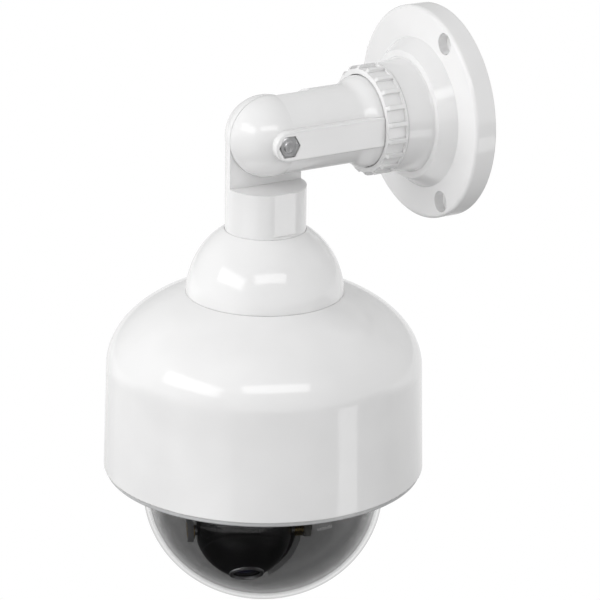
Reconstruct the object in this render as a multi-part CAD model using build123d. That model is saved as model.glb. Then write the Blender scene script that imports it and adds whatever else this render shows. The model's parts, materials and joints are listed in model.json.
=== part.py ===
from build123d import *
import os
from math import acos, asin, cos, degrees, pi, radians, sin, sqrt, tan

# Dome camera on a wall arm.  Millimetres, +Z up.
# Origin: centre of the wall flange's mounting face.  The wall is the plane y = 0,
# the arm reaches out along -Y, and the head hangs below the elbow along -Z.

# ---- wall flange, measured out from the wall --------------------------------
FLANGE_R = 43.7
FLANGE_T = 9.4
STEP_BASE_R = 30.7
STEP_TOP_R = 26.2
STEP_END = 15.6
SOCKET_R = 23.1
SOCKET_TIP_R = 22.0
SOCKET_END = 27.0
THREAD_R = 20.4
THREAD_END = 30.5
WALL_HOLE_R = 2.5
WALL_HOLE_PCD = 76.0
WALL_HOLE_COUNT = 3
WALL_HOLE_START = 60.0
HEAD_POCKET_R = 4.4

# ---- locking ring -----------------------------------------------------------
RING_START = 27.05
RING_END = 36.0
RING_R = 22.4
RING_NOTCHES = 20
NOTCH_DEPTH = 1.3
NOTCH_SHARE = 0.7      # of the pitch; the rest is the rib
RING_RIM = 1.2
RING_LIP_R = 18.95

# ---- arm and elbow ----------------------------------------------------------
REACH = 80.0            # wall to elbow pivot
ARM_R = 16.1
BALL_R = 16.5
FLARE_R = 18.6
PAD_X = 18.6            # outer face of the raised bolt pad
PAD_HALF_W = 6.1
FLAT_X = 15.3           # flat on the side opposite the pad
FLAT_CORNER_R = 6.0     # soft corners of the neck's flat
STEP_GAP = 20.1         # pivot to the shoulder that leaves room for the other ear
EAR_GAP = 0.1           # each ear stops this far short of the centre plane
EAR_WALL = 3.2
BOSS_R = 6.5
BOLT_R = 2.5
NUT_FLATS = 8.0
NUT_T = 4.0

# ---- neck, hub and housing, heights below the arm's centre line --------------
NECK_R = 16.3
NECK_END = 40.4
HUB_R = 31.9
HUB_Z = -65.7
HUB_BASE_Z = -64.7
HUB_WALL = 3.0
HUB_SCREW_R = 25.0
SHOULDER_R = 63.9
SHOULDER_H = 36.2
SHOULDER_Z = -96.0
HOUSING_R = 65.0
HOUSING_BASE_Z = -139.3
HOUSING_WALL = 2.6
TOP_HOLE_R = 20.0
TOP_PLATE_T = 2.8
POST_CIRCLE_R = 57.9
POST_R = 4.2

# ---- dome -------------------------------------------------------------------
LIP_R = 64.0
LIP_BASE_Z = -141.1
DOME_R = 49.0
DOME_DEPTH = 44.75
DOME_Z = -150.3
DOME_WALL = 2.3
DOME_FLANGE_R = 52.2
DOME_FLANGE_TOP = -136.5
RETAINER_TOP = -134.7
RETAINER_SCREW_R = 56.0

# ---- chassis and pan drive --------------------------------------------------
PLATE_TOP = -122.0
PLATE_T = 2.5
PLATE_R = 60.6
BOARD_TOP = -98.0
BOARD_T = 1.6
BOARD_R = 46.0
STANDOFF_CIRCLE_R = 43.0
STANDOFF_START = 65.0
BEARING_R = 13.0
BEARING_BORE_R = 8.5
BEARING_W = 5.0
BALL_COUNT = 14
PAN_MODULE = 0.8
PAN_TEETH = 72
PAN_PINION_TEETH = 18
PAN_MOTOR_ANGLE = 200.0
PAN_GEAR_TOP = -126.0
PAN_GEAR_W = 5.0
YOKE_TOP = -131.05
YOKE_T = 3.0
YOKE_SCREW_R = 12.5
YOKE_SCREW_START = 30.0

# ---- camera eye and tilt drive ----------------------------------------------
REST_PAN = 66.0         # lens heading at rest, from -Y towards +X
REST_TILT = 46.0        # lens angle below the horizontal at rest
EYE_R = 20.0
EYE_WALL = 1.8
EYE_Z = -168.0
EYE_SHIFT = -7.9        # eye centre along the tilt axis, from the pan axis
EYE_PARTING = 9.4       # plane where the front cone leaves the sphere
EYE_TIP = 20.0
EYE_TIP_R = 7.0
CHEEK_IN_R = 21.6
CHEEK_OUT_R = 24.0
CHEEK_EDGE = 10.5       # inner edge of the cheek, along the tilt axis
PIN_R = 2.5
TILT_MODULE = 0.4
TILT_TEETH = 60
TILT_PINION_TEETH = 20
TILT_MOTOR_ANGLE = 120.0
TILT_GEAR_W = 3.0
TILT_SECTOR = 124.0     # toothed part of the tilt gear, in degrees

CABLE_R = 2.2
CABLE_X = 4.7
RUNNING = 0.05          # radial clearance of a running fit
SKIN = 0.05             # gap left between faces of neighbouring pieces

PIVOT = (0, -REACH, 0)
MIN_Z = (Align.CENTER, Align.CENTER, Align.MIN)


# ---- helpers ----------------------------------------------------------------
def rod(radius, bottom, top, x=0.0, y=0.0):
    """Upright cylinder between two heights."""
    return Pos(x, y, bottom) * Cylinder(radius, top - bottom, align=MIN_Z)


def washer(outer_r, inner_r, bottom, top):
    """Upright flat ring between two heights."""
    return rod(outer_r, bottom, top) - rod(inner_r, bottom, top)


def block(low, high):
    """Box between its lowest and its highest corner."""
    size = [b - a for a, b in zip(low, high)]
    middle = [(a + b) / 2 for a, b in zip(low, high)]
    return Pos(*middle) * Box(*size)


def turned(*edges):
    """Solid turned about +Z from a closed outline drawn as (radius, height)."""
    return revolve(Rot(90, 0, 0) * make_face(edges), Axis.Z)


def turned_points(*points):
    """Solid turned about +Z from a polygon of (radius, height) corners."""
    return turned(Polyline(*points, close=True))


def ring_of(shape, count, radius, start=0.0):
    """Copies of a shape spaced round +Z."""
    return [place * shape for place in PolarLocations(radius, count, start)]


def group(shapes):
    """Separate solids kept together in one node."""
    return Compound(children=[solid for shape in shapes for solid in shape.solids()])


def out_from_wall(shape):
    """Turn a shape built along +Z so that it grows out of the wall."""
    return Rot(90, 0, 0) * shape


def on_head(shape):
    """Put a shape built about the head's own axis under the elbow."""
    return Pos(0, -REACH, 0) * shape


def on_pan(shape):
    """Put a shape built with +X ahead and +Y along the tilt axis on the pan stage."""
    return on_head(Rot(0, 0, REST_PAN - 90) * shape)


def on_tilt_axis(shape):
    """As on_pan, for shapes built about the eye's centre but not tilted with it."""
    return on_pan(Pos(0, EYE_SHIFT, EYE_Z) * shape)


def on_eye(shape):
    """Put a shape built about the eye's centre, with +X along the lens."""
    return on_tilt_axis(Rot(0, REST_TILT, 0) * shape)


def across(shape):
    """Turn a shape built along +Z so that it lies along the tilt axis."""
    return Rot(-90, 0, 0) * shape


def along_lens(shape):
    """Turn a shape built along +Z so that it lies along the lens axis."""
    return Rot(0, 90, 0) * shape


def hex_prism(across_flats, bottom, top):
    """Upright hexagonal prism."""
    outline = RegularPolygon(across_flats / 2, 6, major_radius=False)
    return Pos(0, 0, bottom) * extrude(outline, top - bottom)


def screw(shank_r, length, head_r, head_h):
    """Screw pointing up from z = 0, with its head and a hex socket below."""
    head = turned_points((0, -head_h), (head_r * 0.8, -head_h), (head_r, -head_h * 0.7), (head_r, 0), (0, 0))
    socket = hex_prism(head_r * 0.9, -head_h, -head_h * 0.4)
    return head - socket + rod(shank_r, 0, length)


def spur_gear(teeth, module, width):
    """Involute gear from z = 0, with one tooth centred on +X and thinned for backlash."""
    pressure = radians(20)
    backlash = 0.15 * module
    pitch_r = teeth * module / 2
    base_r = pitch_r * cos(pressure)
    root_r = pitch_r - 1.25 * module
    tip_r = pitch_r + module
    start_r = max(base_r, root_r)
    half_tooth = pi / (2 * teeth) - backlash / (2 * pitch_r) + tan(pressure) - pressure
    flank = []
    if root_r < start_r:
        flank.append((root_r, half_tooth - involute(base_r, start_r)))
    for step in range(5):
        r = start_r + (tip_r - start_r) * step / 4
        flank.append((r, half_tooth - involute(base_r, r)))
    outline = []
    for tooth in range(teeth):
        middle = 2 * pi * tooth / teeth
        outline += [(r, middle - a) for r, a in flank]
        outline += [(r, middle + a) for r, a in reversed(flank)]
    points = [(r * cos(a), r * sin(a)) for r, a in outline]
    return extrude(make_face(Polyline(*points, close=True)), width)


def involute(base_r, r):
    """Involute function of the pressure angle at radius r."""
    angle = acos(min(1.0, base_r / r))
    return tan(angle) - angle


# ---- wall mount -------------------------------------------------------------
def wall_flange():
    edge = 1.6
    ledge = 0.9
    back_in, back_out, back_depth = 19.0, 30.5, 5.0
    front = FLANGE_T
    base = turned(
        Polyline((0, 0), (FLANGE_R, 0), (FLANGE_R, front - edge)),
        RadiusArc((FLANGE_R, front - edge), (FLANGE_R - edge, front), -edge),
        Polyline((FLANGE_R - edge, front), (STEP_BASE_R, front), (STEP_TOP_R, STEP_END),
                 (SOCKET_R + 0.4, STEP_END), (SOCKET_R, STEP_END + ledge), (SOCKET_TIP_R, SOCKET_END),
                 (THREAD_R, SOCKET_END), (THREAD_R, THREAD_END), (0, THREAD_END), (0, 0)),
    )
    base -= rod(12.0, 0, 20.0)
    base -= rod(16.0, 18.5, THREAD_END)
    hollow = washer(back_out, back_in, 0, back_depth)
    rib = block((back_in - 1, -1.5, 0), (back_out + 1, 1.5, back_depth))
    base -= hollow - ring_of(rib, 6, 0)
    hole = rod(WALL_HOLE_R, 0, front) + rod(HEAD_POCKET_R, front - 4.0, front)
    base -= ring_of(hole, WALL_HOLE_COUNT, WALL_HOLE_PCD / 2, WALL_HOLE_START)
    return out_from_wall(base)


def locking_ring():
    thread_gap = 0.08
    lip_back = RING_END - 2.2
    edge = 1.0
    body = turned_points(
        (THREAD_R + thread_gap, RING_START), (RING_R - 0.4, RING_START), (RING_R, RING_START + 0.4),
        (RING_R, RING_END - edge), (RING_R - edge, RING_END), (RING_LIP_R, RING_END),
        (RING_LIP_R, lip_back), (THREAD_R + thread_gap, lip_back),
    )
    pitch_angle = radians(360 / RING_NOTCHES)
    notch_w = RING_R * pitch_angle * NOTCH_SHARE
    notch = block((RING_R - NOTCH_DEPTH, -notch_w / 2, RING_START + RING_RIM),
                  (RING_R + 2, notch_w / 2, RING_END + 1))
    body -= ring_of(notch, RING_NOTCHES, 0)
    return out_from_wall(body)


# ---- arm and elbow ----------------------------------------------------------
def knuckle(tube, pad_end, bore_r, bore_end, pocket):
    """Half-lap end of the arm or the neck: pivot at the origin, tube along +Z, ear on +X."""
    pad_edge = 0.8
    pad_outline = Pos(-pad_end / 2, 0) * SlotCenterToCenter(pad_end, 2 * PAD_HALF_W)
    pad = extrude(pad_outline, PAD_X)
    pad = fillet(pad.faces().sort_by(Axis.Z)[-1].edges(), pad_edge)
    pad = Rot(0, 90, 0) * pad
    pad &= block((0, -PAD_HALF_W, -PAD_HALF_W), (PAD_X, PAD_HALF_W, pad_end))
    body = tube + pad
    body -= block((-30, -30, -30), (EAR_GAP, 30, STEP_GAP))
    body -= block((-30, -30, STEP_GAP - 1), (-FLAT_X, 30, pad_end))
    floor = STEP_GAP + 2.9
    channel = rod(bore_r, 0, floor + 1) & block((2, -30, 0), (30, 30, floor + 1))
    cavity = Sphere(BALL_R - EAR_WALL) & block((0, -30, -30), (30, 30, 30))
    boss = Rot(0, 90, 0) * rod(BOSS_R, EAR_GAP + 0.45, PAD_X)
    body -= (channel + cavity) - boss
    body -= rod(bore_r, floor, bore_end)
    body -= Rot(0, 90, 0) * (rod(BOLT_R + 2 * RUNNING, 0, PAD_X) + pocket)
    return body


def arm_tube():
    ring_front = REACH - RING_END
    lip_front = ring_front + 2.2 + SKIN
    flange_end = REACH - THREAD_END - SKIN
    spigot_end = REACH - 19.5
    spigot_r = 16.0 - RUNNING
    groove = REACH - 24.0
    flare_start = ring_front - 9.0
    tube = Sphere(BALL_R) + turned(
        Polyline((0, 0), (ARM_R, 0), (ARM_R, flare_start)),
        Bezier((ARM_R, flare_start), (ARM_R, flare_start + 4), (FLARE_R, ring_front - 5), (FLARE_R, ring_front - 0.5)),
        Polyline((FLARE_R, ring_front - 0.5), (FLARE_R, lip_front), (THREAD_R - 0.3, lip_front),
                 (THREAD_R - 0.3, flange_end), (spigot_r, flange_end), (spigot_r, groove - 1.1),
                 (spigot_r - 2.0, groove - 1.1), (spigot_r - 2.0, groove + 1.1), (spigot_r, groove + 1.1),
                 (spigot_r, spigot_end), (0, spigot_end), (0, 0)),
    )
    nut_pocket = hex_prism(NUT_FLATS + 0.5, PAD_X - NUT_T - 0.4, PAD_X + 1)
    arm = knuckle(tube, ring_front - 0.25, 12.0, spigot_end, nut_pocket)
    return Pos(*PIVOT) * Rot(-90, 0, 0) * arm


def arm_o_ring():
    return out_from_wall(Pos(0, 0, 24.0) * Torus(14.95, 0.95))


def bolt_frame(shape):
    """Put a shape built along +Z on the elbow bolt's axis, pointing to +X."""
    return Pos(*PIVOT) * Rot(0, 90, 0) * shape


BOLT_SEAT = PAD_X - 6.2   # bottom of the bolt head's pocket, from the centre plane


def pivot_bolt():
    head_h = 5.0
    head_back = -BOLT_SEAT - 1.0
    head = rod(4.25, head_back - head_h, head_back)
    head = chamfer(head.edges().sort_by(Axis.Z)[0], 0.4)
    shank = chamfer(rod(BOLT_R, head_back, PAD_X + 0.1).edges().sort_by(Axis.Z)[-1], 0.4)
    return bolt_frame(head + shank - hex_prism(4.0, head_back - head_h, head_back - 2.4))


def pivot_nut():
    outer = PAD_X - 0.3
    blank = hex_prism(NUT_FLATS, outer - NUT_T, outer)
    corner = NUT_FLATS / sqrt(3)
    crown_r = NUT_FLATS / 2 - 0.2
    cone = turned_points((0, outer - NUT_T), (corner + 0.2, outer - NUT_T), (corner + 0.2, outer - 0.6),
                         (crown_r, outer), (0, outer))
    nut = (blank & cone) - rod(BOLT_R + 0.02, outer - NUT_T, outer)
    return bolt_frame(Rot(0, 0, 90) * nut)


def pivot_washer():
    return bolt_frame(washer(4.4, BOLT_R + 0.1, -BOLT_SEAT - 1.0, -BOLT_SEAT - RUNNING))


def elbow_washer():
    return bolt_frame(washer(BOSS_R - 0.1, BOLT_R + 0.1, -0.5, 0.5))


def arm_cable():
    near_elbow = 9.5
    return Pos(*PIVOT) * Rot(-90, 0, 0) * rod(CABLE_R, near_elbow, REACH - 1.0, x=CABLE_X)


# ---- neck and hub -----------------------------------------------------------
NECK_SPIGOT_R = 10.0
NECK_SPIGOT_END = 50.0


def neck_bracket():
    tube = Sphere(BALL_R) + turned_points(
        (0, 0), (NECK_R, 0), (NECK_R, NECK_END), (NECK_SPIGOT_R, NECK_END),
        (NECK_SPIGOT_R, NECK_SPIGOT_END), (0, NECK_SPIGOT_END),
    )
    head_pocket = rod(4.7, BOLT_SEAT, PAD_X + 1)
    neck = knuckle(tube, NECK_END - 3.0, 10.5, NECK_END - 4.0, head_pocket)
    neck -= rod(7.4, NECK_END - 5, NECK_SPIGOT_END)
    flat_corners = neck.edges().filter_by(Axis.Z).filter_by_position(Axis.X, -FLAT_X - 0.01, -FLAT_X + 0.01)
    neck = fillet(flat_corners, FLAT_CORNER_R)
    return on_head(Rot(0, 180, 0) * neck)


def hub_cap():
    recess_z = -NECK_END - SKIN
    roof_z = recess_z - HUB_WALL
    ball = Pos(0, 0, HUB_Z) * Sphere(HUB_R)
    shell = ball & block((-40, -40, HUB_BASE_Z), (40, 40, recess_z + 5))
    seat = rod(NECK_R + 0.1, recess_z, 0)
    pad_room = block((-PAD_X - 0.15, -PAD_HALF_W - 0.1, recess_z + 3 - SKIN), (0, PAD_HALF_W + 0.1, 0))
    shell -= seat + pad_room
    inside = Pos(0, 0, HUB_Z) * Sphere(HUB_R - HUB_WALL) & block((-40, -40, -99), (40, 40, roof_z))
    post = rod(3.4, HUB_BASE_Z, HUB_BASE_Z + 16)
    posts = [copy & ball for copy in ring_of(post, 3, HUB_SCREW_R)]
    shell = shell - inside + posts
    shell -= rod(NECK_SPIGOT_R + 0.1, roof_z - 1, recess_z + 1)
    shell -= ring_of(rod(1.3, HUB_BASE_Z, HUB_BASE_Z + 9), 3, HUB_SCREW_R)
    return on_head(shell)


def neck_lock_nut():
    top = -NECK_END - HUB_WALL - 2 * SKIN
    nut = hex_prism(26.0, top - 4.0, top) - rod(NECK_SPIGOT_R + 0.02, top - 5, top)
    return on_head(nut)


def hub_seal():
    return on_head(washer(30.3, 28.6, HUB_BASE_Z - 1.2, HUB_BASE_Z - SKIN))


def hub_screws():
    under_plate = HUB_BASE_Z - TOP_PLATE_T - SKIN
    one = Pos(0, 0, under_plate) * screw(1.25, 9.5, 2.8, 2.0)
    return on_head(group(ring_of(one, 3, HUB_SCREW_R)))


# ---- housing ----------------------------------------------------------------
CHASSIS_POST_START = 30.0
LIP_POST_START = 90.0
SEAL_IN_R = 62.6
SEAL_OUT_R = 63.5


def housing_shell():
    top = HUB_BASE_Z - SKIN
    edge = 0.8
    inner_r = SHOULDER_R - HOUSING_WALL
    inner_h = SHOULDER_H - HOUSING_WALL
    plate_under = top - TOP_PLATE_T + SKIN
    outer_start = degrees(asin((top - SHOULDER_Z) / SHOULDER_H))
    inner_start = degrees(asin((plate_under - SHOULDER_Z) / inner_h))
    center = (0, SHOULDER_Z)
    outer_arc = EllipticalCenterArc(center, SHOULDER_R, SHOULDER_H, 0, arc_size=outer_start)
    inner_arc = EllipticalCenterArc(center, inner_r, inner_h, 0, arc_size=inner_start)
    base = HOUSING_BASE_Z
    shell = turned(
        Polyline((TOP_HOLE_R, plate_under), (TOP_HOLE_R, top), outer_arc @ 1),
        outer_arc,
        Line(outer_arc @ 0, (HOUSING_R, base + edge)),
        RadiusArc((HOUSING_R, base + edge), (HOUSING_R - edge, base), edge),
        Polyline((HOUSING_R - edge, base), (HOUSING_R - HOUSING_WALL, base), inner_arc @ 0),
        inner_arc,
        Line(inner_arc @ 1, (TOP_HOLE_R, plate_under)),
    )
    post_top = SHOULDER_Z - 6
    chassis_post = rod(POST_R, PLATE_TOP + SKIN, post_top)
    lip_post = rod(POST_R, base, post_top)
    shell += ring_of(chassis_post, 3, POST_CIRCLE_R, CHASSIS_POST_START)
    shell += ring_of(lip_post, 3, POST_CIRCLE_R, LIP_POST_START)
    shell -= ring_of(rod(1.3, PLATE_TOP - 1, PLATE_TOP + 12), 3, POST_CIRCLE_R, CHASSIS_POST_START)
    shell -= ring_of(rod(1.3, base - 1, base + 12), 3, POST_CIRCLE_R, LIP_POST_START)
    shell -= ring_of(rod(1.7, plate_under, top), 3, HUB_SCREW_R)
    shell -= washer(30.4, 28.5, top - 1.25, top)
    return on_head(shell)


def lip_ring():
    top = HOUSING_BASE_Z - SKIN
    rim_top = top + 5.0
    step = 1.2
    ring = turned_points(
        (DOME_R + 0.1, LIP_BASE_Z), (LIP_R - 0.5, LIP_BASE_Z), (LIP_R, LIP_BASE_Z + 0.5), (LIP_R, top),
        (61.0, top), (61.0, rim_top), (61.0 - step, rim_top), (61.0 - step, top), (DOME_R + 0.1, top),
    )
    ring -= ring_of(rod(POST_R + 0.3, top, rim_top + 1), 3, POST_CIRCLE_R, LIP_POST_START)
    ring += ring_of(rod(3.0, top, DOME_FLANGE_TOP), 3, RETAINER_SCREW_R, CHASSIS_POST_START)
    ring -= ring_of(rod(1.0, top + 0.2, DOME_FLANGE_TOP), 3, RETAINER_SCREW_R, CHASSIS_POST_START)
    ring -= washer(SEAL_OUT_R + SKIN, SEAL_IN_R - SKIN, top - 0.7, top + 1)
    sink = turned_points((0, LIP_BASE_Z - 1), (2.9, LIP_BASE_Z - 1), (2.9, LIP_BASE_Z + 0.2),
                         (1.6, LIP_BASE_Z + 1.4), (1.6, top), (0, top))
    ring -= ring_of(sink, 3, POST_CIRCLE_R, LIP_POST_START)
    return on_head(ring)


def lip_screws():
    head = turned_points((0, LIP_BASE_Z + 0.2), (2.8, LIP_BASE_Z + 0.2), (1.5, LIP_BASE_Z + 1.35),
                         (1.25, LIP_BASE_Z + 1.6), (1.25, HOUSING_BASE_Z + 10), (0, HOUSING_BASE_Z + 10))
    head -= hex_prism(2.0, LIP_BASE_Z, LIP_BASE_Z + 1.3)
    return on_head(group(ring_of(head, 3, POST_CIRCLE_R, LIP_POST_START)))


def housing_seal():
    groove_floor = HOUSING_BASE_Z - SKIN - 0.7
    return on_head(washer(SEAL_OUT_R, SEAL_IN_R, groove_floor, HOUSING_BASE_Z - SKIN / 2))


# ---- dome -------------------------------------------------------------------
def dome_half(radius, depth, top):
    """Outer or inner surface of the dome as a solid: short cylinder over half a spheroid."""
    arc = EllipticalCenterArc((0, DOME_Z), radius, depth, -90, arc_size=90)
    return turned(arc, Polyline(arc @ 1, (radius, top), (0, top), arc @ 0))


def dome_bubble():
    bubble = dome_half(DOME_R, DOME_DEPTH, DOME_FLANGE_TOP)
    bubble += rod(DOME_FLANGE_R, DOME_FLANGE_TOP - 2.1, DOME_FLANGE_TOP)
    bubble -= dome_half(DOME_R - DOME_WALL, DOME_DEPTH - DOME_WALL, DOME_FLANGE_TOP)
    return on_head(bubble)


def dome_gasket():
    bottom = HOUSING_BASE_Z - SKIN
    return on_head(washer(DOME_FLANGE_R - 0.2, DOME_R + 0.2, bottom, DOME_FLANGE_TOP - 2.1))


def dome_retainer():
    tab = rod(3.2, DOME_FLANGE_TOP, RETAINER_TOP)
    ring = rod(52.9, DOME_FLANGE_TOP, RETAINER_TOP)
    tabs = ring_of(tab, 3, RETAINER_SCREW_R, CHASSIS_POST_START)
    ring += tabs
    ring -= rod(47.6, DOME_FLANGE_TOP - 1, RETAINER_TOP + 1)
    ring -= ring_of(rod(1.3, DOME_FLANGE_TOP - 1, RETAINER_TOP + 1), 3, RETAINER_SCREW_R, CHASSIS_POST_START)
    return on_head(ring)


def retainer_screws():
    one = Pos(0, 0, RETAINER_TOP + SKIN) * Rot(180, 0, 0) * screw(0.95, 4.0, 2.1, 1.5)
    return on_head(group(ring_of(one, 3, RETAINER_SCREW_R, CHASSIS_POST_START)))


# ---- chassis and electronics ------------------------------------------------
PLATE_UNDER = PLATE_TOP - PLATE_T
BEARING_BOTTOM = PLATE_UNDER + 0.3
PAN_CENTRES = PAN_MODULE * (PAN_TEETH + PAN_PINION_TEETH) / 2
MOTOR_SCREW_SPAN = 16.0


def at_pan_motor(shape):
    """Put a shape built about +Z on the pan motor's axis, on the fixed head."""
    angle = radians(PAN_MOTOR_ANGLE)
    return Pos(PAN_CENTRES * cos(angle), PAN_CENTRES * sin(angle), 0) * Rot(0, 0, PAN_MOTOR_ANGLE) * shape


def chassis_plate():
    boss_top = BEARING_BOTTOM + BEARING_W + 2.0
    plate = rod(PLATE_R, PLATE_UNDER, PLATE_TOP) + rod(BEARING_R + 3, PLATE_UNDER, boss_top)
    plate -= rod(BEARING_R, PLATE_UNDER, BEARING_BOTTOM + BEARING_W)
    plate -= rod(BEARING_R - 1.6, PLATE_UNDER, boss_top)
    plate -= ring_of(rod(POST_R + 0.4, PLATE_UNDER, PLATE_TOP), 3, POST_CIRCLE_R, LIP_POST_START)
    plate -= ring_of(rod(1.6, PLATE_UNDER, PLATE_TOP), 3, POST_CIRCLE_R, CHASSIS_POST_START)
    plate -= at_pan_motor(rod(4.5, PLATE_UNDER, PLATE_TOP))
    for side in (-1, 1):
        plate -= at_pan_motor(rod(1.1, PLATE_UNDER, PLATE_TOP, y=side * MOTOR_SCREW_SPAN))
    plate -= ring_of(rod(1.1, PLATE_UNDER, PLATE_TOP), 4, STANDOFF_CIRCLE_R, STANDOFF_START)
    vent = SlotArc(CenterArc((0, 0), 30, -25, 50), 5)
    plate -= Pos(0, 0, PLATE_UNDER) * extrude(vent, PLATE_T)
    return on_head(plate)


def chassis_screws():
    one = Pos(0, 0, PLATE_UNDER - SKIN) * screw(1.25, 12.0, 2.5, 1.6)
    return on_head(group(ring_of(one, 3, POST_CIRCLE_R, CHASSIS_POST_START)))


def board_standoffs():
    under_board = BOARD_TOP - BOARD_T
    one = hex_prism(5.0, PLATE_TOP, under_board) - rod(1.0, under_board - 8, under_board)
    one += rod(1.05, PLATE_UNDER + 0.2, PLATE_TOP)
    return on_head(group(ring_of(one, 4, STANDOFF_CIRCLE_R, STANDOFF_START)))


def main_board():
    board = rod(BOARD_R, BOARD_TOP - BOARD_T, BOARD_TOP)
    board -= ring_of(rod(1.2, BOARD_TOP - BOARD_T, BOARD_TOP), 4, STANDOFF_CIRCLE_R, STANDOFF_START)
    board -= rod(8.0, BOARD_TOP - BOARD_T, BOARD_TOP)
    return on_head(board)


def board_screws():
    one = Pos(0, 0, BOARD_TOP + SKIN) * Rot(180, 0, 0) * screw(0.95, 7.0, 2.2, 1.6)
    return on_head(group(ring_of(one, 4, STANDOFF_CIRCLE_R, STANDOFF_START)))


HEATSINK_X = -27.0


def processor():
    return on_head(block((HEATSINK_X - 8, -8, BOARD_TOP + SKIN), (HEATSINK_X + 8, 8, BOARD_TOP + 1.6)))


def heatsink():
    foot = BOARD_TOP + 1.65
    sink = block((HEATSINK_X - 11, -11, foot), (HEATSINK_X + 11, 11, foot + 9))
    slots = 5
    pitch = 22 / (slots + 0.7)
    for index in range(slots):
        middle = (index - (slots - 1) / 2) * pitch
        sink -= block((HEATSINK_X - 12, middle - 1.2, foot + 2), (HEATSINK_X + 12, middle + 1.2, foot + 10))
    return on_head(sink)


CONNECTOR_X = 22.0


def cable_connector():
    low = (CONNECTOR_X - 7, -8, BOARD_TOP + SKIN)
    plug = block(low, (CONNECTOR_X + 7, 8, BOARD_TOP + 12))
    plug -= rod(CABLE_R + 0.02, BOARD_TOP + 6, BOARD_TOP + 13, x=CONNECTOR_X)
    return on_head(plug)


def head_cable():
    start = (-CABLE_X, 0, -9.5)
    leave = (-CABLE_X, 0, -54)
    enter = (CONNECTOR_X, 0, BOARD_TOP + 13)
    end = (CONNECTOR_X, 0, BOARD_TOP + 6.5)
    down = (0, 0, -1)
    bend = Spline(leave, enter, tangents=(down, down), tangent_scalars=(1.2, 1.2))
    path = Wire([Line(start, leave), bend, Line(enter, end)])
    profile = Plane(origin=start, z_dir=down) * Circle(CABLE_R)
    return on_head(sweep(profile, path=path))


# ---- pan drive --------------------------------------------------------------
def race(outer_r, inner_r):
    ball_pitch_r = (BEARING_R + BEARING_BORE_R) / 2
    middle = BEARING_BOTTOM + BEARING_W / 2
    blank = washer(outer_r, inner_r, BEARING_BOTTOM, BEARING_BOTTOM + BEARING_W)
    return on_head(blank - Pos(0, 0, middle) * Torus(ball_pitch_r, 1.45))


def bearing_outer_race():
    return race(BEARING_R, 11.6)


def bearing_inner_race():
    return race(9.9, BEARING_BORE_R)


def bearing_balls():
    ball_pitch_r = (BEARING_R + BEARING_BORE_R) / 2
    ball = Pos(0, 0, BEARING_BOTTOM + BEARING_W / 2) * Sphere(1.39)
    return on_head(group(ring_of(ball, BALL_COUNT, ball_pitch_r)))


def pan_motor():
    foot = PLATE_TOP + SKIN
    can = rod(12.0, foot, foot + 17.0)
    can = fillet(can.edges().sort_by(Axis.Z)[-1], 1.2)
    ears = block((-4, -MOTOR_SCREW_SPAN, foot), (4, MOTOR_SCREW_SPAN, foot + 1))
    for side in (-1, 1):
        ears += rod(4.0, foot, foot + 1, y=side * MOTOR_SCREW_SPAN)
        ears -= rod(1.2, foot, foot + 1, y=side * MOTOR_SCREW_SPAN)
    motor = can + ears - rod(2.0 + RUNNING, foot, foot + 12)
    return on_head(at_pan_motor(motor))


def pan_motor_screws():
    one = Pos(0, 0, PLATE_TOP + 1.0 + 2 * SKIN) * Rot(180, 0, 0) * screw(1.0, 3.2, 2.0, 1.4)
    places = [Pos(0, side * MOTOR_SCREW_SPAN, 0) * one for side in (-1, 1)]
    return on_head(group([at_pan_motor(place) for place in places]))


def pan_motor_shaft():
    return on_head(at_pan_motor(rod(2.0, PAN_GEAR_TOP - PAN_GEAR_W + 0.4, PLATE_TOP + 11)))


def pan_pinion():
    bottom = PAN_GEAR_TOP - PAN_GEAR_W + 0.5
    gear = spur_gear(PAN_PINION_TEETH, PAN_MODULE, PAN_GEAR_W - 1.0) - rod(2.0, 0, PAN_GEAR_W)
    turn = 180 + 180 / PAN_PINION_TEETH
    return on_head(at_pan_motor(Pos(0, 0, bottom) * Rot(0, 0, turn) * gear))


def pan_gear():
    bottom = PAN_GEAR_TOP - PAN_GEAR_W
    spigot_top = BEARING_BOTTOM + BEARING_W + 1.0
    gear = Rot(0, 0, PAN_MOTOR_ANGLE) * Pos(0, 0, bottom) * spur_gear(PAN_TEETH, PAN_MODULE, PAN_GEAR_W)
    gear += rod(9.5, PAN_GEAR_TOP, BEARING_BOTTOM - SKIN)
    gear += rod(BEARING_BORE_R, PAN_GEAR_TOP, spigot_top)
    gear -= rod(6.0, bottom, spigot_top)
    holes = ring_of(rod(1.0, bottom, PAN_GEAR_TOP - 0.6), 3, YOKE_SCREW_R, YOKE_SCREW_START)
    windows = ring_of(rod(4.5, bottom, PAN_GEAR_TOP), 6, 20, 30)
    gear -= windows
    return on_head(gear - [Rot(0, 0, REST_PAN - 90) * hole for hole in holes])


# ---- yoke -------------------------------------------------------------------
MOTOR_PLATE_IN = 28.2     # inner face of the tilt motor's plate, from the eye's centre
MOTOR_PLATE_T = 2.5
LEFT_ARM_IN = 20.9
LEFT_ARM_T = 2.4
LEFT_ARM_HALF_W = 5.2
TILT_CENTRES = TILT_MODULE * (TILT_TEETH + TILT_PINION_TEETH) / 2
TILT_SCREW_SPAN = 10.9


def at_tilt_motor(shape):
    """Move a shape from the tilt axis to the tilt motor's axis, in the upright eye frame."""
    angle = radians(TILT_MOTOR_ANGLE)
    return Pos(TILT_CENTRES * cos(angle), 0, TILT_CENTRES * sin(angle)) * shape


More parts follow.
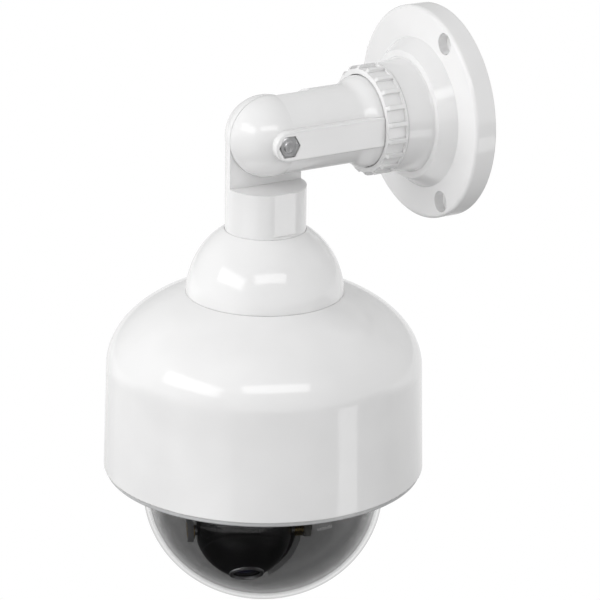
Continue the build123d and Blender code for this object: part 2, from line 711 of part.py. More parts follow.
def yoke():
    """Pan platform with the cheek, the motor plate and the left arm, about the eye's centre."""
    top = YOKE_TOP - EYE_Z
    under = top - YOKE_T
    left = -LEFT_ARM_IN - LEFT_ARM_T
    plate_out = MOTOR_PLATE_IN + MOTOR_PLATE_T
    platform = block((-14, left, under), (11, plate_out, top))
    platform = fillet(platform.edges().filter_by(Axis.Z), 5)
    platform += rod(16.5, under, top, y=-EYE_SHIFT)
    left_arm = across(rod(LEFT_ARM_HALF_W, left, -LEFT_ARM_IN))
    left_arm += block((-LEFT_ARM_HALF_W, left, 0), (LEFT_ARM_HALF_W, -LEFT_ARM_IN, top))
    behind = block((-30, CHEEK_EDGE, -30), (1.5, 30, 30))
    cheek = (Sphere(CHEEK_OUT_R) & behind) - Sphere(CHEEK_IN_R)
    post = block((-7, CHEEK_EDGE + 1, 14), (1.5, CHEEK_OUT_R - 3, top)) - Sphere(CHEEK_IN_R)
    motor_seat = at_tilt_motor(across(rod(10.0, MOTOR_PLATE_IN, plate_out)))
    motor_seat += block((-14, MOTOR_PLATE_IN, 13), (2, plate_out, top))
    frame = platform + left_arm + cheek + post + motor_seat
    frame -= rod(6.0, under - 1, top + 1, y=-EYE_SHIFT)
    frame -= across(rod(4.0, -CHEEK_OUT_R - 1, CHEEK_OUT_R + 1))
    frame -= at_tilt_motor(across(rod(4.6, MOTOR_PLATE_IN - 1, plate_out + 1)))
    for side in (-1, 1):
        hole = across(rod(0.9, MOTOR_PLATE_IN, plate_out))
        frame -= at_tilt_motor(Pos(side * TILT_SCREW_SPAN, 0, 0) * hole)
    frame -= [Pos(0, -EYE_SHIFT, 0) * hole for hole in ring_of(rod(1.3, under, top), 3, YOKE_SCREW_R, YOKE_SCREW_START)]
    return on_tilt_axis(frame)


def yoke_screws():
    one = Pos(0, 0, YOKE_TOP - YOKE_T - SKIN) * screw(0.95, 6.0, 2.0, 1.4)
    return on_pan(group(ring_of(one, 3, YOKE_SCREW_R, YOKE_SCREW_START)))


def tilt_bushings():
    bore = PIN_R + RUNNING
    right = washer(4.0, bore, CHEEK_IN_R - 0.6, CHEEK_OUT_R + 0.3)
    left = washer(4.0, bore, -LEFT_ARM_IN - LEFT_ARM_T, -LEFT_ARM_IN + 0.5)
    return on_tilt_axis(across(group([right, left])))


# ---- tilt drive -------------------------------------------------------------
TILT_GEAR_START = CHEEK_OUT_R + 0.8


def tilt_motor():
    foot = MOTOR_PLATE_IN + MOTOR_PLATE_T + SKIN
    can = fillet(rod(9.0, foot, foot + 11.5).edges().sort_by(Axis.Z)[-1], 1.0)
    ears = block((-TILT_SCREW_SPAN, -2.2, foot), (TILT_SCREW_SPAN, 2.2, foot + 0.8))
    for side in (-1, 1):
        ears += rod(2.2, foot, foot + 0.8, x=side * TILT_SCREW_SPAN)
        ears -= rod(1.0, foot, foot + 0.8, x=side * TILT_SCREW_SPAN)
    motor = can + ears - rod(1.5 + RUNNING, foot, foot + 8)
    return on_tilt_axis(at_tilt_motor(across(motor)))


def tilt_motor_screws():
    face = MOTOR_PLATE_IN + MOTOR_PLATE_T + SKIN + 0.8 + SKIN
    one = Pos(0, 0, face) * Rot(180, 0, 0) * screw(0.85, 3.0, 1.7, 1.2)
    pair = [Pos(side * TILT_SCREW_SPAN, 0, 0) * one for side in (-1, 1)]
    return on_tilt_axis(at_tilt_motor(across(group(pair))))


def tilt_motor_shaft():
    return on_tilt_axis(at_tilt_motor(across(rod(1.5, TILT_GEAR_START, MOTOR_PLATE_IN + 10))))


def tilt_pinion():
    gear = spur_gear(TILT_PINION_TEETH, TILT_MODULE, TILT_GEAR_W - 0.6) - rod(1.5, 0, TILT_GEAR_W)
    turn = 180 - TILT_MOTOR_ANGLE + 180 / TILT_PINION_TEETH
    placed = Pos(0, 0, TILT_GEAR_START + 0.3) * Rot(0, 0, turn) * gear
    return on_tilt_axis(at_tilt_motor(across(placed)))


def tilt_gear():
    """Gear sector: teeth only where the pinion can reach them, and a hub on the tilt pin."""
    half = TILT_SECTOR / 2
    from_low = Rot(0, 0, -half) * block((-20, 0, 0), (20, 20, TILT_GEAR_W))
    from_high = Rot(0, 0, half) * block((-20, -20, 0), (20, 0, TILT_GEAR_W))
    sector = spur_gear(TILT_TEETH, TILT_MODULE, TILT_GEAR_W) & from_low & from_high
    gear = sector + rod(4.4, 0, TILT_GEAR_W) - rod(PIN_R, 0, TILT_GEAR_W)
    gear -= [Rot(0, 0, angle) * rod(1.9, 0, TILT_GEAR_W, x=7.7) for angle in (-36, 0, 36)]
    return on_tilt_axis(across(Pos(0, 0, TILT_GEAR_START) * Rot(0, 0, -TILT_MOTOR_ANGLE) * gear))


def tilt_pins():
    right = rod(PIN_R, 15.0, TILT_GEAR_START + TILT_GEAR_W + 0.2)
    left = rod(PIN_R, -LEFT_ARM_IN - LEFT_ARM_T + 0.2, -15.0)
    return on_tilt_axis(across(group([right, left])))


# ---- camera eye -------------------------------------------------------------
EYE_SIDE = 19.3
EYE_PARTING_R = sqrt(EYE_R ** 2 - EYE_PARTING ** 2)
EYE_LUG_CIRCLE_R = 14.2
EYE_LUG_R = 2.4
EYE_LUG_SPLIT = EYE_PARTING - 3.2
SKIRT_R = 15.3


def eye_rear_shell():
    inner_r = EYE_R - EYE_WALL
    keep = block((-30, -EYE_SIDE, -30), (EYE_PARTING, EYE_SIDE, 30))
    shell = (Sphere(EYE_R) & keep) - Sphere(inner_r)
    for side in (-1, 1):
        low, high = sorted((side * 14.5, side * EYE_SIDE))
        shell += across(rod(4.6, low, high)) & Sphere(EYE_R)
        shell -= across(rod(PIN_R, low - 1, high + 1))
    lugs = [place & Sphere(EYE_R - 0.5) for place in eye_lugs(-4, EYE_LUG_SPLIT)]
    return on_eye(shell + lugs - eye_lug_holes(-4, 9))


def eye_lugs(low, high):
    """Three screw lugs inside the eye, parallel to the lens."""
    web = block((0, -1.4, low), (EYE_R - EYE_LUG_CIRCLE_R, 1.4, high))
    lug = rod(EYE_LUG_R, low, high) + web
    return [along_lens(place) for place in ring_of(lug, 3, EYE_LUG_CIRCLE_R, 60)]


def eye_lug_holes(low, high):
    return [along_lens(place) for place in ring_of(rod(0.85, low, high), 3, EYE_LUG_CIRCLE_R, 60)]


def front_outline(radius, tip_r, parting, tip):
    """Slightly crowned cone from the parting circle to the lens opening."""
    bulge = 0.8
    middle = ((radius + tip_r) / 2 + bulge, (parting + tip) / 2 + bulge)
    return ThreePointArc((radius, parting), middle, (tip_r, tip))


def eye_front_shell():
    parting = EYE_PARTING + SKIN
    hole_r = 6.4
    outer = front_outline(EYE_PARTING_R, EYE_TIP_R + 0.2, parting, EYE_TIP - 0.4)
    inner = front_outline(EYE_PARTING_R - EYE_WALL, EYE_TIP_R, parting, EYE_TIP - 2.2)
    shell = turned(
        outer,
        Polyline(outer @ 1, (hole_r, EYE_TIP - 0.4), (hole_r, EYE_TIP - 2.2), inner @ 1),
        inner,
        Line(inner @ 0, outer @ 0),
    )
    lug_start = EYE_LUG_SPLIT + 0.1
    lug = rod(EYE_LUG_R, lug_start, EYE_PARTING + 3)
    shell += [copy & rod(SKIRT_R, lug_start, EYE_TIP) for copy in ring_of(lug, 3, EYE_LUG_CIRCLE_R, 60)]
    shell += washer(SKIRT_R, SKIRT_R - 0.9, lug_start, parting + 1)
    shell += washer(EYE_PARTING_R - 1.2, SKIRT_R - 0.9, parting, parting + 1)
    shell -= ring_of(rod(0.7, lug_start, EYE_PARTING + 2), 3, EYE_LUG_CIRCLE_R, 60)
    return on_eye(along_lens(shell))


def eye_screws():
    one = Pos(0, 0, -4 - SKIN) * screw(0.65, 15.0, 1.5, 1.0)
    return on_eye(group([along_lens(place) for place in ring_of(one, 3, EYE_LUG_CIRCLE_R, 60)]))


def lens_trim_ring():
    back = EYE_TIP - 0.35
    ring = turned_points((5.7, back), (EYE_TIP_R + 0.2, back), (EYE_TIP_R + 0.2, back + 0.6),
                         (EYE_TIP_R - 0.2, back + 1.0), (6.1, back + 1.0), (5.7, back + 0.4))
    return on_eye(along_lens(ring))


SENSOR_X = -3.0


def sensor_board():
    return on_eye(block((SENSOR_X - 1.2, -9, -9), (SENSOR_X, 9, 9)))


def sensor_chip():
    return on_eye(block((SENSOR_X + SKIN, -4, -4), (SENSOR_X + 1.1, 4, 4)))


def lens_holder():
    foot = SENSOR_X + SKIN
    base = block((foot, -8, -8), (foot + 3.5, 8, 8)) - block((foot, -6.2, -6.2), (foot + 2.0, 6.2, 6.2))
    tube = along_lens(rod(7.3, foot + 3, foot + 10))
    return on_eye(base + tube - along_lens(rod(6.0 + RUNNING, foot + 1, foot + 11)))


def lens_barrel():
    back, front = SENSOR_X + 3.5, EYE_TIP - 1.2
    barrel = rod(6.0, back, front) - rod(4.6, front - 2.2, front + 1) - rod(3.0, back - 1, front)
    grip = washer(6.9, 5.9, 8.2, 10.2)
    grooves = ring_of(block((6.6, -0.4, 8), (7.2, 0.4, 11)), 18, 0)
    return on_eye(along_lens(barrel + (grip - grooves)))


def lens_front_glass():
    back, front = EYE_TIP - 3.3, EYE_TIP - 0.6
    crown_r = 11.0
    return on_eye(along_lens(rod(4.55, back, front) & Pos(0, 0, front - crown_r) * Sphere(crown_r)))


def lens_rear_glass():
    back, front = SENSOR_X + 3.8, SENSOR_X + 5.4
    return on_eye(along_lens(rod(2.95, back, front)))


# ---- write ------------------------------------------------------------------
PARTS = (
    wall_flange, locking_ring,
    arm_tube, arm_o_ring, pivot_bolt, pivot_nut, pivot_washer, elbow_washer, arm_cable,
    neck_bracket, hub_cap, neck_lock_nut, hub_seal, hub_screws, head_cable,
    housing_shell, lip_ring, lip_screws, housing_seal,
    dome_bubble, dome_gasket, dome_retainer, retainer_screws,
    chassis_plate, chassis_screws, board_standoffs, main_board, board_screws,
    processor, heatsink, cable_connector,
    bearing_outer_race, bearing_balls, pan_motor, pan_motor_screws,
    pan_motor_shaft, pan_pinion,
    bearing_inner_race, pan_gear, yoke, yoke_screws, tilt_bushings,
    tilt_motor, tilt_motor_screws, tilt_motor_shaft, tilt_pinion,
    tilt_gear, tilt_pins, eye_rear_shell, eye_front_shell, eye_screws, lens_trim_ring,
    sensor_board, sensor_chip, lens_holder,
    lens_barrel, lens_front_glass, lens_rear_glass,
)

os.makedirs("parts", exist_ok=True)
for part in PARTS:
    export_step(part(), f"parts/{part.__name__}.step")
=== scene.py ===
import json
import math

import bmesh
import bpy
from mathutils import Matrix, Vector


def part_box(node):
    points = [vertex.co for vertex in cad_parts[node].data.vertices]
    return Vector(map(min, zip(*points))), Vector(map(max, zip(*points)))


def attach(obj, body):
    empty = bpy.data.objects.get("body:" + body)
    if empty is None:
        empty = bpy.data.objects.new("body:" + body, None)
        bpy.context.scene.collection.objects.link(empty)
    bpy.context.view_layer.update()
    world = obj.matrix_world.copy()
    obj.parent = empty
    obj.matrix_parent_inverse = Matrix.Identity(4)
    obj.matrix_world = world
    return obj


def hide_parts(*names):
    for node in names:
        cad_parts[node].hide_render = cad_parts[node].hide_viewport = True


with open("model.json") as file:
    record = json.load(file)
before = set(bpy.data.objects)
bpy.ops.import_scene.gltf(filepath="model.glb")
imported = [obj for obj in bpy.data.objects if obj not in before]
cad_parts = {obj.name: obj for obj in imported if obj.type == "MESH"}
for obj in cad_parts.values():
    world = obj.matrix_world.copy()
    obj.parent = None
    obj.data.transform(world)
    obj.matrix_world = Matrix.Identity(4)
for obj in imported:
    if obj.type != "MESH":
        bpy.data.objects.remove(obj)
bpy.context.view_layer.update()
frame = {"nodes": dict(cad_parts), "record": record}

MM = 0.001
HEAD_AXIS = Vector((0, -80 * MM, 0))      # the elbow's pivot; the head hangs on the line below it

# ---- the dome's bubble: a half spheroid below a short cylinder -----------------
DOME_R = 49.0 * MM
DOME_DEPTH = 44.75 * MM
DOME_Z = -150.3 * MM
DOME_WALL = 2.3 * MM
DOME_FLANGE_T = 2.1 * MM
DOME_SEGMENTS = 256

# ---- camera at the photograph's viewing angle, and lights -----------------------
VIEW_AZIMUTH = math.radians(59.1)
VIEW_ELEVATION = math.radians(19.2)
VIEW_ROLL = math.radians(0.75)
VIEW_DISTANCE = 1.433
VIEW_SIDE = 0.01334
VIEW_RISE = -0.0651
LENS_MM = 217.2
PANEL_DISTANCE = 1.5
ROOM_LIGHT = 0.60
FLOOR_Z = -0.75
FLOOR_HALF = 12


# ---- node helpers -------------------------------------------------------------
class Shader:
    """A material with a Principled surface and short calls for the nodes that feed it."""

    def __init__(self, name, **values):
        self.material = bpy.data.materials.new(name)
        self.material.use_nodes = True
        self.tree = self.material.node_tree
        self.surface = self.tree.nodes["Principled BSDF"]
        self.output = self.tree.nodes["Material Output"]
        self.coords = self.node("ShaderNodeTexCoord").outputs["Object"]
        for key, value in values.items():
            self.set(key, value)

    def node(self, kind, **settings):
        made = self.tree.nodes.new(kind)
        for key, value in settings.items():
            setattr(made, key, value)
        return made

    def feed(self, socket, value):
        """Link an output, or set a plain value."""
        if isinstance(value, bpy.types.NodeSocket):
            self.tree.links.new(value, socket)
        else:
            socket.default_value = value

    def set(self, key, value):
        self.feed(self.surface.inputs[key.replace("_", " ")], value)

    def stretched(self, scale):
        """Object coordinates stretched by a factor per axis."""
        mapping = self.node("ShaderNodeMapping")
        self.feed(mapping.inputs["Vector"], self.coords)
        mapping.inputs["Scale"].default_value = scale
        return mapping.outputs["Vector"]

    def noise(self, size, detail=3.0, vector=None, roughness=0.5):
        """Noise whose blobs are about `size` metres across."""
        made = self.node("ShaderNodeTexNoise")
        self.feed(made.inputs["Vector"], vector or self.coords)
        made.inputs["Scale"].default_value = 1 / size
        made.inputs["Detail"].default_value = detail
        made.inputs["Roughness"].default_value = roughness
        return made.outputs["Fac"]

    def spread(self, value, low, high, start=0.3, stop=0.7):
        """Map a 0-1 pattern to a range."""
        made = self.node("ShaderNodeMapRange")
        self.feed(made.inputs["Value"], value)
        for key, number in (("From Min", start), ("From Max", stop), ("To Min", low), ("To Max", high)):
            made.inputs[key].default_value = number
        return made.outputs["Result"]

    def mix(self, factor, first, second):
        made = self.node("ShaderNodeMix", data_type="RGBA")
        self.feed(made.inputs["Factor"], factor)
        self.feed(made.inputs["A"], first)
        self.feed(made.inputs["B"], second)
        return made.outputs["Result"]

    def math(self, operation, first, second):
        made = self.node("ShaderNodeMath", operation=operation)
        self.feed(made.inputs[0], first)
        self.feed(made.inputs[1], second)
        return made.outputs[0]

    def bump(self, height, strength, distance, under=None):
        made = self.node("ShaderNodeBump")
        self.feed(made.inputs["Height"], height)
        made.inputs["Strength"].default_value = strength
        made.inputs["Distance"].default_value = distance
        if under is not None:
            self.feed(made.inputs["Normal"], under)
        return made.outputs["Normal"]

    def rounded(self, radius):
        """Normals that soften edges as if they had this radius."""
        made = self.node("ShaderNodeBevel", samples=4)
        made.inputs["Radius"].default_value = radius
        return made.outputs["Normal"]

    def crevice(self, reach):
        """1 in the open, lower in corners and gaps."""
        made = self.node("ShaderNodeAmbientOcclusion", samples=4)
        made.inputs["Distance"].default_value = reach
        return made.outputs["AO"]


def grey(level):
    return (level, level, level, 1)


def shade(color, factor):
    """The colour made darker or lighter, kept within 0-1."""
    return tuple(min(1.0, channel * factor) for channel in color[:3]) + (1,)


# ---- materials ------------------------------------------------------------------
def moulded_plastic(name, color, roughness, gloss_coat=0.6, crevice_shade=0.10):
    """Injection-moulded plastic: faint flow variation, fine orange peel, painted shade darkening the
    corners and gaps.
    """
    m = Shader(name, Coat_Weight=gloss_coat, Coat_Roughness=0.03)
    tone = m.noise(0.035, detail=2)
    body = m.mix(m.spread(tone, 0, 1), shade(color, 0.965), shade(color, 1.03))
    # Painted shade: the colour is darkened where ambient occlusion finds corners and gaps.
    painted_shade = m.spread(m.crevice(0.004), crevice_shade, 0.0, 0.35, 0.95)
    shaded_color = tuple(c * f for c, f in zip(color[:3], (0.60, 0.59, 0.58))) + (1,)
    m.set("Base_Color", m.mix(painted_shade, body, shaded_color))
    m.set("Roughness", m.spread(m.noise(0.012, detail=4), roughness * 0.8, roughness * 1.25))
    soft = m.rounded(0.0005)
    ripple = m.bump(m.noise(0.014, detail=1), 0.03, 0.0004, soft)
    m.set("Normal", m.bump(m.noise(0.0004, detail=2), 0.03, 0.00004, ripple))
    m.set("Coat_Normal", soft)
    return m.material


def matt_plastic(name, color, roughness):
    """Spark-eroded matt moulding: fine even grain and slightly rubbed high spots."""
    m = Shader(name)
    grain = m.noise(0.0005, detail=3)
    m.set("Base_Color", m.mix(m.spread(grain, 0, 1), shade(color, 0.8), color))
    m.set("Roughness", m.spread(m.noise(0.006, detail=3), roughness * 0.85, roughness * 1.15))
    m.set("Normal", m.bump(grain, 0.25, 0.00006))
    return m.material


def turned_metal(name, color, roughness, streak=(900, 900, 90)):
    """Machined or drawn metal: fine streaks, blotches in the plating."""
    m = Shader(name, Metallic=1.0)
    lines = m.noise(1.0, detail=4, vector=m.stretched(streak), roughness=0.7)
    blotch = m.noise(0.004, detail=3)
    m.set("Base_Color", m.mix(m.spread(blotch, 0, 1), shade(color, 0.72), color))
    m.set("Roughness", m.spread(lines, roughness * 0.7, roughness * 1.4))
    m.set("Normal", m.bump(lines, 0.12, 0.00003))
    return m.material


def polished_metal(name, color):
    """Ground and polished steel with a faint haze."""
    m = Shader(name, Metallic=1.0)
    haze = m.noise(0.003, detail=5)
    m.set("Base_Color", m.mix(m.spread(haze, 0, 1), shade(color, 0.9), color))
    m.set("Roughness", m.spread(haze, 0.06, 0.16))
    return m.material


def rubber(name, color):
    """Dull rubber with a pale bloom and a fine rough skin."""
    m = Shader(name, Specular_IOR_Level=0.3)
    bloom = m.noise(0.002, detail=5)
    m.set("Base_Color", m.mix(m.spread(bloom, 0, 1), color, shade(color, 2.2)))
    m.set("Roughness", m.spread(bloom, 0.62, 0.85))
    m.set("Normal", m.bump(m.noise(0.0004), 0.3, 0.00005))
    return m.material


def circuit_board(name, color):
    """Solder mask with copper tracks showing through, and tinned pads."""
    m = Shader(name, Coat_Weight=0.4, Coat_Roughness=0.15)
    cells = m.node("ShaderNodeTexVoronoi", feature="DISTANCE_TO_EDGE", distance="MANHATTAN")
    m.feed(cells.inputs["Vector"], m.coords)
    cells.inputs["Scale"].default_value = 260
    track = m.spread(cells.outputs["Distance"], 1, 0, 0.03, 0.06)
    dots = m.node("ShaderNodeTexVoronoi", feature="F1")
    m.feed(dots.inputs["Vector"], m.coords)
    dots.inputs["Scale"].default_value = 190
    pad = m.spread(dots.outputs["Distance"], 1, 0, 0.10, 0.13)
    copper = tuple(channel * 1.9 + 0.02 for channel in color[:3]) + (1,)
    masked = m.mix(track, color, copper)
    m.set("Base_Color", m.mix(pad, masked, (0.72, 0.70, 0.62, 1)))
    m.set("Metallic", pad)
    m.set("Roughness", m.spread(m.noise(0.004), 0.3, 0.45))
    m.set("Normal", m.bump(m.math("ADD", track, pad), 0.4, 0.00006))
    return m.material


def optical_glass(name, color):
    """Coated lens glass: dark, mirror smooth, with a violet-green coating; its base colour turns to the
    coating's colour towards grazing angles as a painted sheen.
    """
    m = Shader(name, Roughness=0.02, Coat_Weight=1.0, Coat_Roughness=0.01, IOR=1.7)
    # Painted sheen: the base colour shifts to the coating's colour at grazing view angles.
    grazing_sheen = m.node("ShaderNodeLayerWeight")
    grazing_sheen.inputs["Blend"].default_value = 0.35
    m.set("Base_Color", m.mix(grazing_sheen.outputs["Facing"], (0.012, 0.010, 0.020, 1), color))
    m.set("Coat_Tint", m.mix(m.noise(0.006, detail=1), (0.55, 0.35, 0.95, 1), (0.35, 0.85, 0.6, 1)))
    return m.material


def smoked_dome(name):
    """Polished acrylic: smoked in the middle, with painted light clearing it towards its silhouette and a
    painted thin grey line of shade along its rim.

    Shadow and diffuse rays pass nearly straight through.
    """
    m = Shader(name, Transmission_Weight=1.0, IOR=1.49, Roughness=0.0)
    weight = m.node("ShaderNodeLayerWeight")
    weight.inputs["Blend"].default_value = 0.5
    edge_on = weight.outputs["Facing"]
    haze = m.spread(m.noise(0.02, detail=4), 0.97, 1.03)
    # Painted light: the smoke tint is real, but its clearing towards the silhouette is painted in for the
    # reflection and refraction of the bright surroundings.
    smoke_and_rim_light = m.math("MULTIPLY", m.spread(edge_on, 0.36, 1.0, 0.24, 0.64), haze)
    m.set("Base_Color", m.mix(smoke_and_rim_light, grey(0.0), grey(1.0)))
    clear = m.node("ShaderNodeBsdfTransparent")
    # Painted shade: a thin grey line where the wall is seen edge-on.
    painted_rim_line = m.spread(edge_on, 0, 1, 0.80, 0.96)
    m.feed(clear.inputs["Color"], m.mix(painted_rim_line, grey(0.92), grey(0.76)))
    rim = m.spread(edge_on, 0.0, 0.92, 0.435, 0.81)
    path = m.node("ShaderNodeLightPath")
    unseen = m.math("MAXIMUM", path.outputs["Is Shadow Ray"], path.outputs["Is Diffuse Ray"])
    choose = m.node("ShaderNodeMixShader")
    m.feed(choose.inputs[0], m.math("MAXIMUM", rim, m.math("MULTIPLY", unseen, 0.9)))
    m.feed(choose.inputs[1], m.surface.outputs[0])
    m.feed(choose.inputs[2], clear.outputs[0])
    m.feed(m.output.inputs["Surface"], choose.outputs[0])
    return m.material


def slot_materials():
    """One finished material per material slot of the record."""
    return {
        "white_shell": moulded_plastic("white_shell", (0.868, 0.866, 0.866, 1), 0.11, crevice_shade=0.05),
        # lip_white gets a grey of 0.55, darker than the white shell: painted shade for the lip under the
        # housing's edge.
        "lip_white": moulded_plastic("lip_white", (0.55, 0.555, 0.56, 1), 0.28),
        "dome_smoke": smoked_dome("dome_smoke"),
        "eye_black": moulded_plastic("eye_black", (0.010, 0.010, 0.011, 1), 0.30, gloss_coat=0.2, crevice_shade=0.0),
        "stage_grey": matt_plastic("stage_grey", (0.27, 0.27, 0.275, 1), 0.42),
        "lens_black": matt_plastic("lens_black", (0.02, 0.02, 0.02, 1), 0.35),
        "lens_glass": optical_glass("lens_glass", (0.10, 0.06, 0.20, 1)),
        "trim_metal": turned_metal("trim_metal", (0.72, 0.72, 0.73, 1), 0.38),
        "fastener_steel": turned_metal("fastener_steel", (0.74, 0.74, 0.75, 1), 0.30),
        "bearing_steel": polished_metal("bearing_steel", (0.72, 0.72, 0.73, 1)),
        "motor_steel": turned_metal("motor_steel", (0.52, 0.52, 0.54, 1), 0.34, (60, 60, 1200)),
        "brass_parts": turned_metal("brass_parts", (0.78, 0.58, 0.26, 1), 0.25),
        "gear_plastic": matt_plastic("gear_plastic", (0.20, 0.195, 0.18, 1), 0.4),
        "seal_rubber": rubber("seal_rubber", (0.022, 0.022, 0.022, 1)),
        "friction_nylon": matt_plastic("friction_nylon", (0.74, 0.74, 0.70, 1), 0.5),
        "cable_jacket": rubber("cable_jacket", (0.03, 0.03, 0.03, 1)),
        "chassis_metal": turned_metal("chassis_metal", (0.62, 0.63, 0.64, 1), 0.36, (40, 900, 900)),
        "heatsink_alu": turned_metal("heatsink_alu", (0.16, 0.17, 0.18, 1), 0.42, (900, 40, 900)),
        "board_green": circuit_board("board_green", (0.016, 0.10, 0.040, 1)),
        "chip_black": matt_plastic("chip_black", (0.025, 0.025, 0.027, 1), 0.55),
        "connector_ivory": matt_plastic("connector_ivory", (0.72, 0.69, 0.58, 1), 0.45),
    }


# ---- mesh helpers ---------------------------------------------------------------
def ellipse(radius, height, center_z, start, stop, steps):
    """Points (r, z) along an ellipse about the axis; angles in degrees above the equator."""
    angles = [math.radians(start + (stop - start) * i / steps) for i in range(steps + 1)]
    return [(radius * math.cos(a), center_z + height * math.sin(a)) for a in angles]


def spin(painted_rim_line, segments):
    """Mesh of revolution about Z from an outline of (r, z) that starts and ends on the axis."""
    bm = bmesh.new()
    rings = []
    for r, z in painted_rim_line:
        count = 1 if r < 1e-7 else segments
        angles = [2 * math.pi * i / count for i in range(count)]
        rings.append([bm.verts.new((r * math.cos(a), r * math.sin(a), z)) for a in angles])
    for first, second in zip(rings, rings[1:]):
        for i in range(segments):
            j = (i + 1) % segments
            corners = [first[i % len(first)], first[j % len(first)]]
            corners += [second[j % len(second)], second[i % len(second)]]
            bm.faces.new(list(dict.fromkeys(corners)))
    bmesh.ops.recalc_face_normals(bm, faces=bm.faces)
    mesh = bpy.data.meshes.new("spun")
    bm.to_mesh(mesh)
    bm.free()
    return mesh


def add_piece(name, mesh, slot, body, node):
    """Smooth the mesh, put it on the head's axis and let it stand for a CAD node."""
    mesh.transform(Matrix.Translation(HEAD_AXIS))
    mesh.shade_smooth()
    mesh.set_sharp_from_angle(angle=math.radians(28))
    mesh.materials.append(MATERIALS[slot])
    piece = bpy.data.objects.new(name, mesh)
    bpy.context.scene.collection.objects.link(piece)
    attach(piece, body)
    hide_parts(node)


def dome_piece():
    """The bubble with a smooth even wall, its rounded clamping flange on top."""
    low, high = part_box("dome_bubble")
    flange_r = (high.x - low.x) / 2
    top = high.z
    flange_z = top - DOME_FLANGE_T
    inner_r = DOME_R - DOME_WALL
    painted_rim_line = ellipse(DOME_R, DOME_DEPTH, DOME_Z, -90, 0, 72)
    painted_rim_line += [(DOME_R, flange_z - 0.5 * MM), (DOME_R + 0.15 * MM, flange_z - 0.15 * MM)]
    painted_rim_line += [(DOME_R + 0.5 * MM, flange_z), (flange_r - 0.3 * MM, flange_z)]
    painted_rim_line += [(flange_r, flange_z + 0.3 * MM)]
    painted_rim_line += [(flange_r, top - 0.3 * MM), (flange_r - 0.3 * MM, top), (inner_r, top)]
    painted_rim_line += ellipse(inner_r, DOME_DEPTH - DOME_WALL, DOME_Z, 0, -90, 72)
    add_piece("dome_shell", spin(painted_rim_line, DOME_SEGMENTS), "dome_smoke", "head", "dome_bubble")


# ---- staging ------------------------------------------------------------------------
def dress_cad():
    """Give every CAD node its slot's finished material."""
    slots = {row["node"]: row["material_slot"] for row in frame["record"]["subparts"]}
    for name, node in frame["nodes"].items():
        node.data.materials.clear()
        node.data.materials.append(MATERIALS[slots[name]])


def panel(name, azimuth, elevation, width, height, power, seen):
    """Rectangular studio light aimed at the camera head; azimuth runs from -Y towards +X.

    `seen` says which side of a surface's shine it feeds: "diffuse" or "glossy".
    """
    target = Vector((0, -0.08, -0.08))
    a, e = math.radians(azimuth), math.radians(elevation)
    away = Vector((math.sin(a) * math.cos(e), -math.cos(a) * math.cos(e), math.sin(e)))
    data = bpy.data.lights.new(name, "AREA")
    data.shape = "RECTANGLE"
    data.size, data.size_y = width, height
    data.energy = power
    light = bpy.data.objects.new(name, data)
    light.location = target + away * PANEL_DISTANCE
    light.rotation_mode = "QUATERNION"
    light.rotation_quaternion = away.to_track_quat("Z", "Y")
    light.visible_diffuse = seen == "diffuse"
    light.visible_glossy = seen == "glossy"
    bpy.context.scene.collection.objects.link(light)


def studio():
    """Soft panels that make the highlights, and broad ones that only fill."""
    panel("softbox_left", 2, 28, 1.2, 0.46, 3.4, "glossy")
    panel("softbox_right", 70, 39, 1.2, 0.36, 2.8, "glossy")
    panel("left_wall", -50, 0, 1.4, 2.4, 1.4, "glossy")
    panel("front_low", 15, -25, 1.2, 1.2, 1.7, "glossy")
    panel("card_right", 121, -19, 0.4, 0.4, 0.6, "glossy")
    panel("fill_left", -10, 25, 1.6, 1.2, 13.9, "diffuse")
    panel("fill_right", 75, 30, 1.6, 1.2, 0.8, "diffuse")
    panel("fill_far_right", 130, 10, 1.6, 1.6, 6.6, "diffuse")
    panel("bounce_low", 40, -40, 1.6, 1.6, 17, "diffuse")


def backdrop():
    """Even light from all around that the camera itself sees as white paper."""
    world = bpy.data.worlds.new("studio_air")
    world.use_nodes = True
    tree = world.node_tree
    strength = tree.nodes.new("ShaderNodeMapRange")
    strength.inputs["To Min"].default_value = ROOM_LIGHT
    tree.links.new(tree.nodes.new("ShaderNodeLightPath").outputs["Is Camera Ray"], strength.inputs["Value"])
    tree.links.new(strength.outputs["Result"], tree.nodes["Background"].inputs["Strength"])
    tree.nodes["Background"].inputs["Color"].default_value = grey(1.0)
    bpy.context.scene.world = world
    bpy.context.scene.view_settings.view_transform = "Standard"


def floor():
    """Pale seamless floor, well below the hanging head."""
    bm = bmesh.new()
    bmesh.ops.create_grid(bm, x_segments=8, y_segments=8, size=FLOOR_HALF)
    mesh = bpy.data.meshes.new("floor")
    bm.to_mesh(mesh)
    bm.free()
    plane = bpy.data.objects.new("floor", mesh)
    plane.location = (0, 0, FLOOR_Z)
    bpy.context.scene.collection.objects.link(plane)
    plane.data.materials.append(floor_material())


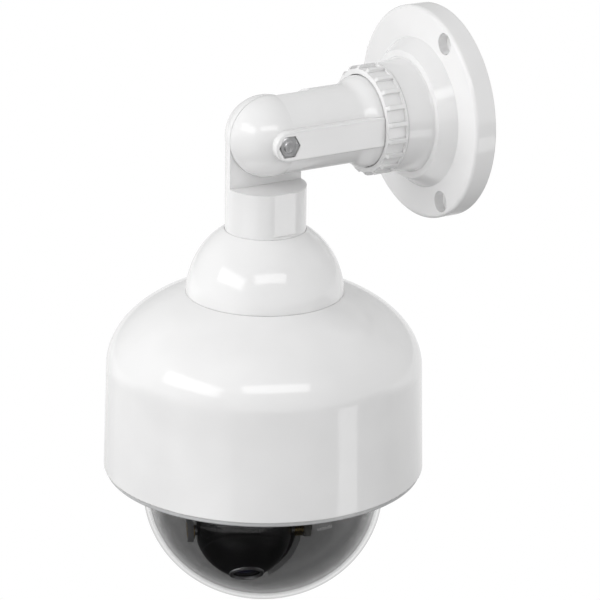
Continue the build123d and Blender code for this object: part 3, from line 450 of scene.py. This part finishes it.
def floor_material():
    """Pale paint, burnt out to white where the camera looks, and clear when seen from below."""
    m = Shader("floor_paint", Roughness=0.9)
    m.set("Base_Color", m.mix(m.noise(0.4), grey(0.34), grey(0.38)))
    split = m.node("ShaderNodeSeparateXYZ")
    m.feed(split.inputs[0], m.coords)
    behind = m.math("ADD", m.math("MULTIPLY", split.outputs["X"], -math.sin(VIEW_AZIMUTH)),
                    m.math("MULTIPLY", split.outputs["Y"], math.cos(VIEW_AZIMUTH)))
    path = m.node("ShaderNodeLightPath")
    lit = m.math("MAXIMUM", m.spread(behind, 0.03, 0.85, 0.3, 1.6), path.outputs["Is Camera Ray"])
    glow = m.node("ShaderNodeEmission")
    m.feed(glow.inputs["Strength"], lit)
    choose = m.node("ShaderNodeMixShader")
    m.feed(choose.inputs[0], path.outputs["Is Diffuse Ray"])
    m.feed(choose.inputs[1], glow.outputs[0])
    m.feed(choose.inputs[2], m.surface.outputs[0])
    one_way = m.node("ShaderNodeMixShader")
    m.feed(one_way.inputs[0], m.node("ShaderNodeNewGeometry").outputs["Backfacing"])
    m.feed(one_way.inputs[1], choose.outputs[0])
    m.feed(one_way.inputs[2], m.node("ShaderNodeBsdfTransparent").outputs[0])
    m.feed(m.output.inputs["Surface"], one_way.outputs[0])
    return m.material


def camera():
    """Long lens at the photograph's place, rolled slightly as the photograph is."""
    a, e = VIEW_AZIMUTH, VIEW_ELEVATION
    back = Vector((math.sin(a) * math.cos(e), -math.cos(a) * math.cos(e), math.sin(e)))
    level = Vector((math.cos(a), math.sin(a), 0))
    rise = back.cross(level)
    right = level * math.cos(VIEW_ROLL) + rise * math.sin(VIEW_ROLL)
    up = back.cross(right)
    data = bpy.data.cameras.new("camera")
    data.lens = LENS_MM
    data.sensor_width = 36
    view = bpy.data.objects.new("camera", data)
    rotation = Matrix((right, up, back)).transposed().to_4x4()
    spot = HEAD_AXIS + back * VIEW_DISTANCE + right * VIEW_SIDE + up * VIEW_RISE
    view.matrix_world = Matrix.Translation(spot) @ rotation
    bpy.context.scene.collection.objects.link(view)
    bpy.context.scene.camera = view


MATERIALS = slot_materials()
dress_cad()
dome_piece()
floor()
studio()
backdrop()
camera()
